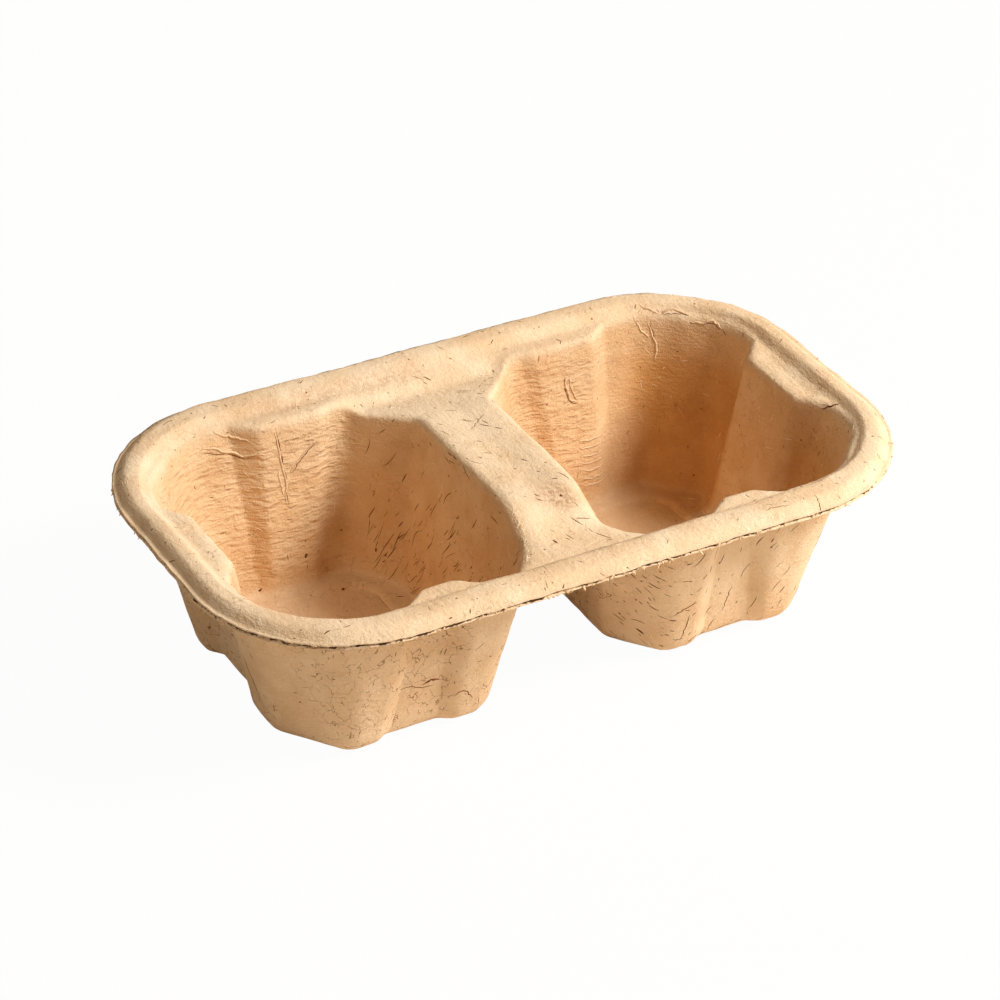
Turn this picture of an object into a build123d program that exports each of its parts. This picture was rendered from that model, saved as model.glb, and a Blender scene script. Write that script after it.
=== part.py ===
from build123d import *
from math import atan2, cos, degrees, radians, sin
import os

# Two-cup carrier in moulded paper pulp: one sheet of even thickness, drawn down
# into two tapered wells that are joined by a saddle and edged by a beaded rim.
# Frame: +Z up, X along the tray, origin on the table under the middle of the tray.
# All lengths are in millimetres and all angles in degrees.

# Sheet and tray outline
wall = 2.0
tray_length = 210.0
tray_width = 128.0
tray_corner_radius = 43.5
lip_height = 53.2

# Bead round the tray, measured inward from the edge of the lip
lip_width = 2.2
bead_height = 2.6
bead_outer_run = 1.5
end_bead_top = 4.0
side_bead_top = 6.4
bead_inner_run = 2.7
bead_round = 1.0
mouth_ledge = 1.6

# Well mouth, at the height of the lip, and how far each wall leans in below it
divider_mouth_width = 24.0
mouth_ease_run = 1.4
mouth_ease_drop = 1.4
end_wall_lean = 11.4
side_wall_lean = 10.7
divider_wall_lean = 6.8

# Places along a well, as shares of the way from the divider to the end wall: inner corner,
# the side rib's inner base, inner edge, outer edge and outer base, outer corner
back_mouth_along_shares = (0.173, 0.230, 0.279, 0.511, 0.598, 0.783)
front_mouth_along_shares = (0.136, 0.288, 0.368, 0.479, 0.559, 0.783)
back_foot_along_shares = (0.167, 0.284, 0.348, 0.550, 0.614, 0.793)
front_foot_along_shares = (0.167, 0.294, 0.358, 0.604, 0.668, 0.793)

# Places across a well, as shares of the way from its middle to the side wall: the end rib's
# edge and base, outer corner, inner corner
back_mouth_across_shares = (0.302, 0.433, 0.645, 0.603)
front_mouth_across_shares = (0.190, 0.375, 0.645, 0.637)
back_foot_across_shares = (0.430, 0.530, 0.650, 0.627)
front_foot_across_shares = (0.180, 0.283, 0.550, 0.627)

# Rounds of the mouth's corners, as shares of how far the corners are cut back
outer_corner_round_share = 1.05
inner_corner_round_share = 0.5

# Ribs that stand in from the well walls and grip the cup
end_rib_mouth_reach = 5.9
end_rib_foot_reach = 3.2
side_rib_mouth_reach = 4.9
side_rib_foot_reach = 2.4
back_lobe_reach = 1.2
rib_round = 2.0
least_round = 0.5

# Turn from the walls into the floor
foot_outer_round_share = 0.30
foot_inner_round_share = 0.48
foot_round = 2.8
foot_knee_run = 1.4
foot_knee_rise = 0.7

# Floor of a well: a ledge round a lower panel, which is what stands on the table
floor_step = 1.2
floor_step_run = 1.4
floor_ledge = 5.0
floor_panel_radius = 8.0

# Valleys between the saddle and the rim, as places along the tray's width
valley_span = 56.0
valley_wall_run = 3.0
back_valley_depth = 3.2
back_valley_flat = 2.0
back_valley_rise_run = 17.0
front_valley_depth = 6.5
front_valley_flat = 12.0
front_valley_rise_run = 18.0
valley_round = 3.0

# Overrun that makes each cut pass through
overrun = 3.0

# Places worked out from the sizes above
bead_outer_top = lip_width + bead_outer_run
bead_inner_top_at_ends = bead_outer_top + end_bead_top
bead_inner_top_at_sides = bead_outer_top + side_bead_top
rim_at_ends = bead_inner_top_at_ends + bead_inner_run
rim_at_sides = bead_inner_top_at_sides + bead_inner_run
mouth_end_x = tray_length / 2 - rim_at_ends - mouth_ledge
mouth_side_y = tray_width / 2 - rim_at_sides - mouth_ledge
mouth_divider_x = divider_mouth_width / 2
foot_end_x = mouth_end_x - end_wall_lean
foot_side_y = mouth_side_y - side_wall_lean
foot_divider_x = mouth_divider_x + divider_wall_lean
floor_top = wall + floor_step
ease_slope = degrees(atan2(mouth_ease_drop, mouth_ease_run))
wall_slope = degrees(atan2(lip_height - floor_top, (end_wall_lean + side_wall_lean) / 2))
knee_slope = degrees(atan2(foot_round - foot_knee_rise, foot_knee_run))
ledge_slope = degrees(atan2(foot_knee_rise, foot_round - foot_knee_run))


def half_outline(inner_x, outer_x, side_y, lobe_y, along, across, end_reach, side_reach):
    """Corners of half a well's outline, from the end rib round to the divider."""
    corner_in, base_in, edge_in, edge_out, base_out, corner_out = [
        inner_x + share * (outer_x - inner_x) for share in along
    ]
    end_edge, end_base, end_corner, divider_corner = [share * side_y for share in across]
    rib_y = side_y - side_reach
    return [
        (outer_x - end_reach, end_edge),
        (outer_x, end_base),
        (outer_x, end_corner),
        (corner_out, side_y),
        (base_out, side_y),
        (edge_out, rib_y),
        (edge_in, rib_y),
        (base_in, lobe_y),
        (corner_in, lobe_y),
        (inner_x, divider_corner),
    ]


def with_radii(corners, outer_radius, inner_radius):
    """Give each corner of half an outline its radius."""
    radii = [rib_round] * 2 + [outer_radius] * 2 + [rib_round] * 4 + [inner_radius] * 2
    return [(x, y, radius) for (x, y), radius in zip(corners, radii)]


def mouth_corners(front):
    """Corners and radii of half a well mouth."""
    corners = half_outline(
        mouth_divider_x,
        mouth_end_x,
        mouth_side_y,
        mouth_side_y if front else mouth_side_y - side_rib_mouth_reach + back_lobe_reach,
        front_mouth_along_shares if front else back_mouth_along_shares,
        front_mouth_across_shares if front else back_mouth_across_shares,
        end_rib_mouth_reach,
        side_rib_mouth_reach,
    )
    outer_cut = mouth_side_y - corners[2][1]
    inner_cut = corners[8][0] - mouth_divider_x
    return with_radii(
        corners, outer_corner_round_share * outer_cut, inner_corner_round_share * inner_cut
    )


def foot_corners(front):
    """Corners and radii of half a well foot, where the walls turn into the floor."""
    corners = half_outline(
        foot_divider_x,
        foot_end_x,
        foot_side_y,
        foot_side_y,
        front_foot_along_shares if front else back_foot_along_shares,
        front_foot_across_shares if front else back_foot_across_shares,
        end_rib_foot_reach,
        side_rib_foot_reach,
    )
    outer_cut = foot_side_y - corners[2][1]
    inner_cut = corners[8][0] - foot_divider_x
    return with_radii(
        corners, foot_outer_round_share * outer_cut, foot_inner_round_share * inner_cut
    )


def whole_outline(back_half, front_half):
    """Close a well's outline from its back half and the mirror of its front half."""
    mirrored = [(x, -y, radius) for x, y, radius in reversed(front_half)]
    return back_half + mirrored


def grown(outline, growth):
    """Move every side of a counter-clockwise outline outward by growth."""
    count = len(outline)
    moved = []
    for index, (x, y, radius) in enumerate(outline):
        before_x, before_y, _ = outline[index - 1]
        after_x, after_y, _ = outline[(index + 1) % count]
        into = Vector(x - before_x, y - before_y).normalized()
        away = Vector(after_x - x, after_y - y).normalized()
        bisector = Vector(into.Y + away.Y, -into.X - away.X)
        shift = bisector * (growth / (1 + into.dot(away)))
        turns_left = into.X * away.Y - into.Y * away.X > 0
        new_radius = radius + growth if turns_left else radius - growth
        moved.append((x + shift.X, y + shift.Y, max(new_radius, least_round)))
    return moved


def section(outline, height):
    """Face of a rounded outline at one height."""
    points = [(x, y, height) for x, y, _ in outline]
    radii = [radius for _, _, radius in outline]
    return make_face(FilletPolyline(*points, radius=radii, close=True))


def skin_shift(thickness, slope_above, slope_below):
    """How far an edge between two slopes moves outward and down on the sheet's far face."""
    middle = radians((slope_above + slope_below) / 2)
    stretch = thickness / cos(radians((slope_below - slope_above) / 2))
    return stretch * sin(middle), stretch * cos(middle)


def well(thickness):
    """One well as a solid: the cup's space, or with a thickness the sheet's outer face."""
    mouth = whole_outline(mouth_corners(front=False), mouth_corners(front=True))
    foot = whole_outline(foot_corners(front=False), foot_corners(front=True))
    levels = [
        (mouth, mouth_ease_run, lip_height, 0, ease_slope),
        (mouth, 0, lip_height - mouth_ease_drop, ease_slope, wall_slope),
        (foot, 0, floor_top + foot_round, wall_slope, knee_slope),
        (foot, -foot_knee_run, floor_top + foot_knee_rise, knee_slope, ledge_slope),
        (foot, -foot_round, floor_top, ledge_slope, 0),
    ]
    faces = []
    for outline, growth, height, slope_above, slope_below in levels:
        outward, down = skin_shift(thickness, slope_above, slope_below)
        faces.append(section(grown(outline, growth + outward), height - down))
    solid = loft(faces, ruled=True)
    return solid + extrude(faces[0], overrun)


def floor_panel(thickness):
    """The lower panel in the middle of a well's floor."""
    margin = foot_round + floor_ledge
    length = foot_end_x - end_rib_foot_reach - foot_divider_x - 2 * margin
    width = 2 * (foot_side_y - margin)
    middle_x = foot_divider_x + margin + length / 2
    top = Pos(middle_x, 0, floor_top - thickness) * RectangleRounded(length, width, floor_panel_radius)
    bottom = Pos(middle_x, 0, wall - thickness) * RectangleRounded(
        length - 2 * floor_step_run, width - 2 * floor_step_run, floor_panel_radius - floor_step_run
    )
    return loft([top.face(), bottom.face()], ruled=True) + extrude(top, floor_step)


def both(solid):
    """A solid and its mirror image at the other end of the tray."""
    return solid + mirror(solid, about=Plane.YZ)


def valley(depth, flat, rise_run, direction, thickness):
    """One valley between the saddle and the rim, running along the tray."""
    wall_y = mouth_side_y
    flat_y = wall_y - valley_wall_run
    rise_y = flat_y - flat
    end_y = rise_y - rise_run
    outline = [
        (direction * wall_y, lip_height + overrun, 0),
        (direction * wall_y, lip_height, 0),
        (direction * flat_y, lip_height - depth, 0),
        (direction * rise_y, lip_height - depth, 0),
        (direction * end_y, lip_height, 0),
        (direction * end_y, lip_height + overrun, 0),
    ]
    if direction > 0:
        outline.reverse()
    moved = grown(outline, thickness)
    profile = Polygon(*[(y, z) for y, z, _ in moved], align=None)
    profile = fillet(profile.vertices().sort_by(Axis.Y)[:2], valley_round)
    return extrude(Plane.YZ * profile, valley_span / 2 + thickness, both=True)


def tray_block(thickness):
    """Block from the table to the lip, or the wider block under the sheet."""
    margin = overrun if thickness else 0
    outline = RectangleRounded(
        tray_length + 2 * margin, tray_width + 2 * margin, tray_corner_radius + margin
    )
    return extrude(Pos(0, 0, -margin) * outline, lip_height + margin - thickness)


def rim_section(end_inset, side_inset, height):
    """Rounded rectangle that keeps its distance from the edge of the lip."""
    radius = tray_corner_radius - (end_inset + side_inset) / 2
    outline = RectangleRounded(tray_length - 2 * end_inset, tray_width - 2 * side_inset, radius)
    return (Pos(0, 0, height) * outline).face()


def bead(thickness):
    """Ridge that stands on the lip, or the hollow under it."""
    base = lip_height - thickness
    top = base + bead_height
    outer = loft(
        [
            rim_section(lip_width + thickness / 2, lip_width + thickness / 2, base),
            rim_section(bead_outer_top + thickness / 2, bead_outer_top + thickness / 2, top),
        ],
        ruled=True,
    )
    inner = loft(
        [
            rim_section(rim_at_ends - thickness / 2, rim_at_sides - thickness / 2, base),
            rim_section(
                bead_inner_top_at_ends - thickness / 2, bead_inner_top_at_sides - thickness / 2, top
            ),
        ],
        ruled=True,
    )
    ridge = outer - inner
    return fillet(ridge.faces().sort_by(Axis.Z)[-1].edges(), bead_round)


def sheet_form(thickness):
    """Everything under the sheet's upper face, or with a thickness under its lower face."""
    form = tray_block(thickness)
    form -= both(well(thickness))
    form -= both(floor_panel(thickness))
    form -= valley(back_valley_depth, back_valley_flat, back_valley_rise_run, 1, thickness)
    form -= valley(front_valley_depth, front_valley_flat, front_valley_rise_run, -1, thickness)
    return form + bead(thickness)


carrier_tray = sheet_form(0) - sheet_form(wall)
carrier_tray.label = "carrier_tray"

os.makedirs("parts", exist_ok=True)
export_step(carrier_tray, "parts/carrier_tray.step")
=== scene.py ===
import math

import bpy
import numpy as np
from mathutils import Matrix, Vector
from mathutils.bvhtree import BVHTree


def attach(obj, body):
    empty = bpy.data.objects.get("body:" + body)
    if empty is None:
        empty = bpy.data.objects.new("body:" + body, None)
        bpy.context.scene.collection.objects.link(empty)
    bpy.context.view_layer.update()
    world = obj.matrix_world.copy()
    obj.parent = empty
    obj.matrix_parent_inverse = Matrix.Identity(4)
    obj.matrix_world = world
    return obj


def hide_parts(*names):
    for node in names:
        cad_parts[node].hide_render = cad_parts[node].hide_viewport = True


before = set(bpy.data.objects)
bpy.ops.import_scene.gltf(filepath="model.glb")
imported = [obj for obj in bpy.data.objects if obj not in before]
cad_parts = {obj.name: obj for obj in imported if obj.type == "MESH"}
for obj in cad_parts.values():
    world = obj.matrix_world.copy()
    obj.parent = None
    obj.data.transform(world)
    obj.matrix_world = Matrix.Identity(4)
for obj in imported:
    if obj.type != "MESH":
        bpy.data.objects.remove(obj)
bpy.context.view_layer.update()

# All sizes are in millimetres, as in the part's source, and become metres in the meshes.
MM = 0.001

# The tray's sizes, as in the part's source
wall = 2.0
tray_length, tray_width, tray_corner_radius = 210.0, 128.0, 43.5
lip_height = 53.2
lip_width, bead_height, bead_outer_run, bead_inner_run = 2.2, 2.6, 1.5, 2.7
end_bead_top, side_bead_top, mouth_ledge = 4.0, 6.4, 1.6
divider_mouth_width = 24.0
mouth_ease_run, mouth_ease_drop = 1.4, 1.4
end_wall_lean, side_wall_lean, divider_wall_lean = 11.4, 10.7, 6.8
back_mouth_along_shares = (0.173, 0.230, 0.279, 0.511, 0.598, 0.783)
front_mouth_along_shares = (0.136, 0.288, 0.368, 0.479, 0.559, 0.783)
back_foot_along_shares = (0.167, 0.284, 0.348, 0.550, 0.614, 0.793)
front_foot_along_shares = (0.167, 0.294, 0.358, 0.604, 0.668, 0.793)
back_mouth_across_shares = (0.302, 0.433, 0.645, 0.603)
front_mouth_across_shares = (0.190, 0.375, 0.645, 0.637)
back_foot_across_shares = (0.430, 0.530, 0.650, 0.627)
front_foot_across_shares = (0.180, 0.283, 0.550, 0.627)
end_rib_mouth_reach, end_rib_foot_reach = 5.9, 3.2
side_rib_mouth_reach, side_rib_foot_reach, back_lobe_reach = 4.9, 2.4, 1.2
foot_round, foot_knee_run, foot_knee_rise = 2.8, 1.4, 0.7
floor_step, floor_step_run, floor_ledge, floor_panel_radius = 1.2, 1.4, 5.0, 8.0
valley_wall_run = 3.0
back_valley_depth, back_valley_flat, back_valley_rise_run = 3.2, 2.0, 17.0
front_valley_depth, front_valley_flat, front_valley_rise_run = 6.5, 12.0, 18.0

# Softness of the real pulp's edges, which the source leaves sharper
outer_corner_radius, inner_corner_radius, foot_corner_radius = 20.0, 5.0, 6.0
rib_edge_radius, least_radius = 2.8, 0.8
wall_ease, divider_ease, front_divider_ease, left_shelf_ease, right_shelf_ease = 2.0, 2.3, 2.4, 4.6, 2.8
column_spacing, rim_corner_fan, inner_corner_fan, cut_side_fan = 1.53, 1.45, 1.6, 2.0
lip_edge_inset, lip_thinning, lip_thinning_run = 0.4, 0.35, 2.4
flange_width, flange_extra, shoulder_width, shoulder_less, shoulder_power = 1.0, 0.9, 3.9, 1.0, 2.3
crown_sink, crown_swell, dish_depth, dish_half_width = 1.05, 0.95, 0.55, 7.5
valley_softness, valley_fade_start, valley_fade_end = 1.8, 20, 30

# Places worked out from the sizes
half_length, half_width = tray_length / 2, tray_width / 2
corner_x, corner_y = half_length - tray_corner_radius, half_width - tray_corner_radius
corner_run = tray_corner_radius * math.pi / 2
half_rim = corner_y + corner_run + corner_x
bead_outer_top = lip_width + bead_outer_run
rim_at_ends = bead_outer_top + end_bead_top + bead_inner_run
rim_at_sides = bead_outer_top + side_bead_top + bead_inner_run
mouth_end_x = half_length - rim_at_ends - mouth_ledge
mouth_side_y = half_width - rim_at_sides - mouth_ledge
mouth_divider_x = divider_mouth_width / 2
foot_end_x = mouth_end_x - end_wall_lean
foot_side_y = mouth_side_y - side_wall_lean
foot_divider_x = mouth_divider_x + divider_wall_lean
floor_top = wall + floor_step
ease_slope = math.atan2(mouth_ease_drop, mouth_ease_run)
wall_slope = math.atan2(lip_height - floor_top, (end_wall_lean + side_wall_lean) / 2)
knee_slope = math.atan2(foot_round - foot_knee_rise, foot_knee_run)
ledge_slope = math.atan2(foot_knee_rise, foot_round - foot_knee_run)


def half_outline(inner_x, outer_x, side_y, end_reach, side_reach, lobe_y, along, across):
    """Corners of half a well's outline, from the end rib round to the divider."""
    corner_in, base_in, edge_in, edge_out, base_out, corner_out = [
        inner_x + share * (outer_x - inner_x) for share in along
    ]
    end_edge, end_base, end_corner, divider_corner = [share * side_y for share in across]
    rib_y = side_y - side_reach
    return [
        (outer_x - end_reach, end_edge), (outer_x, end_base), (outer_x, end_corner),
        (corner_out, side_y), (base_out, side_y), (edge_out, rib_y), (edge_in, rib_y),
        (base_in, lobe_y), (corner_in, lobe_y), (inner_x, divider_corner),
    ]


def whole_outline(back, front, outer_radius, inner_radius):
    """Close an outline from its back half and its mirrored front half: rows of x, y, radius."""
    radii = [rib_edge_radius] * 2 + [outer_radius] * 2 + [rib_edge_radius] * 4 + [inner_radius] * 2
    rows = [(x, y, r) for (x, y), r in zip(back, radii)]
    rows += [(x, -y, r) for (x, y), r in reversed(list(zip(front, radii)))]
    return np.array(rows)


mouth_sizes = mouth_divider_x, mouth_end_x, mouth_side_y, end_rib_mouth_reach, side_rib_mouth_reach
foot_sizes = foot_divider_x, foot_end_x, foot_side_y, end_rib_foot_reach, side_rib_foot_reach
mouth = whole_outline(
    half_outline(*mouth_sizes, mouth_side_y - side_rib_mouth_reach + back_lobe_reach,
                 back_mouth_along_shares, back_mouth_across_shares),
    half_outline(*mouth_sizes, mouth_side_y, front_mouth_along_shares, front_mouth_across_shares),
    outer_corner_radius, inner_corner_radius)
foot = whole_outline(
    half_outline(*foot_sizes, foot_side_y, back_foot_along_shares, back_foot_across_shares),
    half_outline(*foot_sizes, foot_side_y, front_foot_along_shares, front_foot_across_shares),
    foot_corner_radius, foot_corner_radius)


def unit(v):
    return v / np.maximum(np.linalg.norm(v, axis=-1, keepdims=True), 1e-9)


def turns(corners):
    """Direction into each corner, direction out of it, and the signed angle between them."""
    points = corners[:, :2]
    into = unit(points - np.roll(points, 1, 0))
    away = unit(np.roll(points, -1, 0) - points)
    angle = np.arctan2(into[:, 0] * away[:, 1] - into[:, 1] * away[:, 0], (into * away).sum(1))
    return into, away, angle


def grown(corners, growth):
    """Offset every side outward by growth: a corner moves along its bisector, and its radius
    grows where the outline turns left and shrinks where it turns right."""
    into, away, angle = turns(corners)
    bisector = np.stack([into[:, 1] + away[:, 1], -into[:, 0] - away[:, 0]], 1)
    moved = corners[:, :2] + bisector * (growth / (1 + (into * away).sum(1)))[:, None]
    radius = np.maximum(corners[:, 2] + np.sign(angle) * growth, least_radius)
    return np.column_stack([moved, radius])


def sides_and_trims(corners):
    """Length of each side, and how much of it the arc at its first corner takes away."""
    side = np.linalg.norm(np.roll(corners[:, :2], -1, 0) - corners[:, :2], axis=1)
    return side, corners[:, 2] * np.tan(np.abs(turns(corners)[2]) / 2)


def fitted(corners):
    """Shrink corner radii until neighbouring arcs leave a little straight side between them."""
    side, trim = sides_and_trims(corners)
    room = np.minimum(1, 0.94 * side / (trim + np.roll(trim, -1)))
    return np.column_stack([corners[:, :2], corners[:, 2] * np.minimum(room, np.roll(room, 1))])


def trace(corners, arc_counts, side_counts):
    """Rounded polygon as points. Each corner is an arc of its radius, swept by the corner's
    turn about a centre one radius to the inside, then a straight run to the next arc."""
    corners = fitted(corners)
    into, away, angle = turns(corners)
    radius = corners[:, 2]
    trim = sides_and_trims(corners)[1]
    start = corners[:, :2] - into * trim[:, None]
    end = corners[:, :2] + away * trim[:, None]
    sign = np.sign(angle)
    left = np.stack([-into[:, 1], into[:, 0]], 1) * sign[:, None]
    centre = start + left * radius[:, None]
    runs = []
    for k in range(len(corners)):
        sweep = np.linspace(0, angle[k], arc_counts[k], endpoint=False)
        spoke = start[k] - centre[k]
        runs.append(centre[k] + np.stack([spoke[0] * np.cos(sweep) - spoke[1] * np.sin(sweep),
                                          spoke[0] * np.sin(sweep) + spoke[1] * np.cos(sweep)], 1))
        share = np.linspace(0, 1, side_counts[k], endpoint=False)[:, None]
        runs.append(end[k] * (1 - share) + start[(k + 1) % len(corners)] * share)
    return np.concatenate(runs)


# Columns: how many points each arc and side of a well's outline gets. The corners and the
# cut-off inner corners get more, because they fan out to a longer stretch of rim.
arc_fan, side_fan = np.ones(20), np.ones(20)
arc_fan[[2, 3, 16, 17]], arc_fan[8:12] = rim_corner_fan, inner_corner_fan
side_fan[[2, 16]], side_fan[[8, 10]] = rim_corner_fan, cut_side_fan
fitted_mouth = fitted(mouth)
side_length, trim_length = sides_and_trims(fitted_mouth)
side_length = side_length - trim_length - np.roll(trim_length, -1)
arc_length = fitted_mouth[:, 2] * np.abs(turns(fitted_mouth)[2])
arc_counts = np.maximum(2, np.round(arc_length * arc_fan / column_spacing)).astype(int)
side_counts = np.maximum(1, np.round(side_length * side_fan / column_spacing)).astype(int)
side_counts[9] += (arc_counts.sum() + side_counts.sum()) % 2
columns = int(arc_counts.sum() + side_counts.sum())
corner_column = np.concatenate([[0], np.cumsum(arc_counts + side_counts)])[:-1] + arc_counts // 2


def smooth_step(x):
    """3x^2 - 2x^3, held at 0 below x = 0 and at 1 above x = 1."""
    x = np.clip(x, 0, 1)
    return x * x * (3 - 2 * x)


def ramp(value, start, end):
    """Smooth step from 0 where value is start to 1 where it is end."""
    return smooth_step((value - start) / (end - start))


def lip_inset(x, y):
    """Distance inward from the lip's outline, a rectangle with round corners, and how far
    round a corner the point lies: 0 on an end and 1 on a long side."""
    qx, qy = np.abs(x) - corner_x, np.abs(y) - corner_y
    outside = np.hypot(np.maximum(qx, 0), np.maximum(qy, 0)) + np.minimum(np.maximum(qx, qy), 0)
    turn = np.where(qx <= 0, 1.0, np.arctan2(np.maximum(qy, 0), np.maximum(qx, 1e-6)) / (np.pi / 2))
    return tray_corner_radius - outside, turn


def saddle_drop(x, y):
    """Depth of the two valleys below the lip: a broken line along y, averaged over a short
    window to soften its bends, that fades out past the divider."""
    flat_end = mouth_side_y - valley_wall_run
    back_rise, front_rise = flat_end - back_valley_flat, flat_end - front_valley_flat
    slope = np.linspace(0, 1, 7)
    places = np.concatenate([[-mouth_side_y, -flat_end], -front_rise + front_valley_rise_run * slope,
                             [back_rise - back_valley_rise_run, back_rise, flat_end, mouth_side_y]])
    heights = np.concatenate([[0, front_valley_depth], front_valley_depth * (1 - smooth_step(slope)),
                              [0, back_valley_depth, back_valley_depth, 0]])
    offsets = np.linspace(-valley_softness, valley_softness, 9)
    depth = np.mean([np.interp(y + o, places, heights) for o in offsets], axis=0)
    return depth * (1 - ramp(np.abs(x), valley_fade_start, valley_fade_end))


def top_height(x, y, thickness):
    """Height of the sheet's upper face, or its lower face with a thickness, outside the wells:
    the lip's height, plus the bead, which rises from a narrow flange in a rounded shoulder,
    swells a little and falls in a soft step to its inner foot, less the valleys and a
    shallow dish along the saddle."""
    inset, turn = lip_inset(x, y)
    crown = end_bead_top + (side_bead_top - end_bead_top) * smooth_step(turn)
    inner_foot = bead_outer_top + crown + bead_inner_run
    at_end = 1 - smooth_step(turn)
    flange = flange_width + flange_extra * at_end + 0.4 * thickness
    shoulder = shoulder_width - shoulder_less * at_end - 0.5 * thickness
    rise = 1 - (1 - np.clip((inset - flange) / shoulder, 0, 1)) ** shoulder_power
    fall = smooth_step((inner_foot + 0.3 - thickness / 2 - inset) / (bead_inner_run + 0.8))
    swell = crown_swell * np.sin(np.pi * np.clip((inset - flange) / (inner_foot - flange), 0, 1))
    bead = (bead_height - crown_sink + swell) * rise * fall
    dish = dish_depth * smooth_step(1 - np.abs(x) / dish_half_width) * ramp(np.abs(y), 40, 26)
    thin = lip_thinning * thickness * smooth_step(1 - inset / lip_thinning_run)
    return lip_height - thickness + thin + bead - dish - saddle_drop(x, y)


def rim_address(x, y):
    """Signed run round the rim's half from the middle of the end: along the end, round the
    corner and along the side, taken by projecting outward from the corner's centre."""
    ay = np.abs(y)
    turn = np.arctan2(np.maximum(ay - corner_y, 0), np.maximum(x - corner_x, 1e-6))
    end_or_corner = np.where(ay <= corner_y, ay, corner_y + tray_corner_radius * turn)
    return np.where(x <= corner_x, corner_y + corner_run + (corner_x - x), end_or_corner) * np.sign(y)


def rim_point(run, end_inset, side_inset):
    """Point of the rounded rectangle with those insets, at a run measured on the lip."""
    a = np.abs(run)
    turn = np.clip((a - corner_y) / tray_corner_radius, 0, np.pi / 2)
    radius = tray_corner_radius - (end_inset + side_inset) / 2
    ox, oy = half_length - end_inset - radius, half_width - side_inset - radius
    x = ox + radius * np.cos(turn)
    y = oy + radius * np.sin(turn)
    y = np.where(a < corner_y, a / corner_y * oy, y)
    x = np.where(a > corner_y + corner_run, (half_rim - a) / corner_x * ox, x)
    return np.stack([x, y * np.sign(run)], -1)


seam_end_inset = bead_outer_top + end_bead_top / 2
seam_side_inset = bead_outer_top + side_bead_top / 2
seam_y = half_width - seam_side_inset

# Every column's place on the outer border of a well's sheet: on the bead's crown round the
# rim, and on the tray's middle line along the divider.
mouth_points = trace(mouth, arc_counts, side_counts)
column_index = np.arange(columns)
back_turn = (corner_column[8] + corner_column[9]) // 2
front_turn = (corner_column[10] + corner_column[11]) // 2
on_divider = (column_index >= back_turn) & (column_index <= front_turn)
natural = rim_address(mouth_points[:, 0], mouth_points[:, 1])
rim_run = natural.copy()
back_fan = (column_index > corner_column[8]) & (column_index <= back_turn)
front_fan = (column_index >= front_turn) & (column_index < corner_column[11])
rim_run[back_fan] = np.interp(column_index[back_fan], [corner_column[8], back_turn],
                              [natural[corner_column[8]], half_rim])
rim_run[front_fan] = np.interp(column_index[front_fan], [front_turn, corner_column[11]],
                               [-half_rim, natural[corner_column[11]]])
border = rim_point(rim_run, seam_end_inset, seam_side_inset)
middle_y = np.interp(column_index, [back_turn, corner_column[9], corner_column[10], front_turn],
                     [seam_y, mouth[9, 1] + 2, mouth[10, 1] - 2, -seam_y])
border[on_divider] = np.stack([np.zeros(on_divider.sum()), middle_y[on_divider]], 1)
rim_columns = np.concatenate([np.arange(front_turn, columns), np.arange(0, back_turn + 1)])


def ring(outline, growth, height, thickness, slope_above, slope_below):
    """One level of a well as matched points, on the upper or the lower face. On the lower face
    the edge between two slopes lies one thickness off both, so it moves outward and down."""
    middle = (slope_above + slope_below) / 2
    stretch = thickness / math.cos((slope_below - slope_above) / 2)
    points = trace(grown(outline, growth + stretch * math.sin(middle)), arc_counts, side_counts)
    return np.column_stack([points, np.full(columns, height - stretch * math.cos(middle))])


def panel_ring(shrink, height):
    """Outline of the floor panel, a rounded rectangle, at matched columns: each foot point is
    drawn towards the panel's middle line until it meets the outline."""
    margin = foot_round + floor_ledge
    low_x, high_x = foot_divider_x + margin, foot_end_x - end_rib_foot_reach - margin
    a, b = (high_x - low_x) / 2 - shrink, foot_side_y - margin - shrink
    radius = floor_panel_radius - shrink
    mid_x = (high_x + low_x) / 2
    source = trace(foot, arc_counts, side_counts) - [mid_x, 0]
    ox, oy = a - radius, b - radius
    reach = unit(source - np.clip(source, [-ox, -oy], [ox, oy]))
    points = np.clip(source, [-ox, -oy], [ox, oy]) + radius * reach
    return np.column_stack([points + [mid_x, 0], np.full(columns, height)])


def coons_patch(edge, turn_columns):
    """Patch inside a closed edge split at four columns: the sum of the two ruled surfaces
    between opposite sides, less the bilinear surface through the four corners."""
    a, b, c, d = turn_columns
    n = len(edge)
    low, right, high, left = [edge[np.arange(i, j + 1) % n]
                              for i, j in ((a, b), (b, c), (c, d), (d, a + n))]
    high, left = high[::-1], left[::-1]
    u = np.linspace(0, 1, len(low))[None, :, None]
    v = np.linspace(0, 1, len(left))[:, None, None]
    ruled = (1 - v) * low[None] + v * high[None] + (1 - u) * left[:, None] + u * right[:, None]
    flat = (1 - v) * ((1 - u) * low[0] + u * low[-1]) + v * ((1 - u) * high[0] + u * high[-1])
    return ruled - flat


def straight_rows(start, end, rows):
    """Rows on the way from start to end, without start itself."""
    share = np.linspace(0, 1, rows + 1)[1:, None, None]
    return start * (1 - share) + end * share


def bent_rows(start, corner, end, rows):
    """Rows on the quadratic curve from start to end round a corner, without start itself."""
    share = np.linspace(0, 1, rows + 1)[1:, None, None]
    return start * (1 - share) ** 2 + corner * 2 * share * (1 - share) + end * share ** 2


def on_top(flat, thickness):
    """Points in plan, each with the height of the sheet's face there."""
    height = top_height(flat[..., 0], flat[..., 1], thickness)
    return np.concatenate([flat, height[..., None]], -1)


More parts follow.
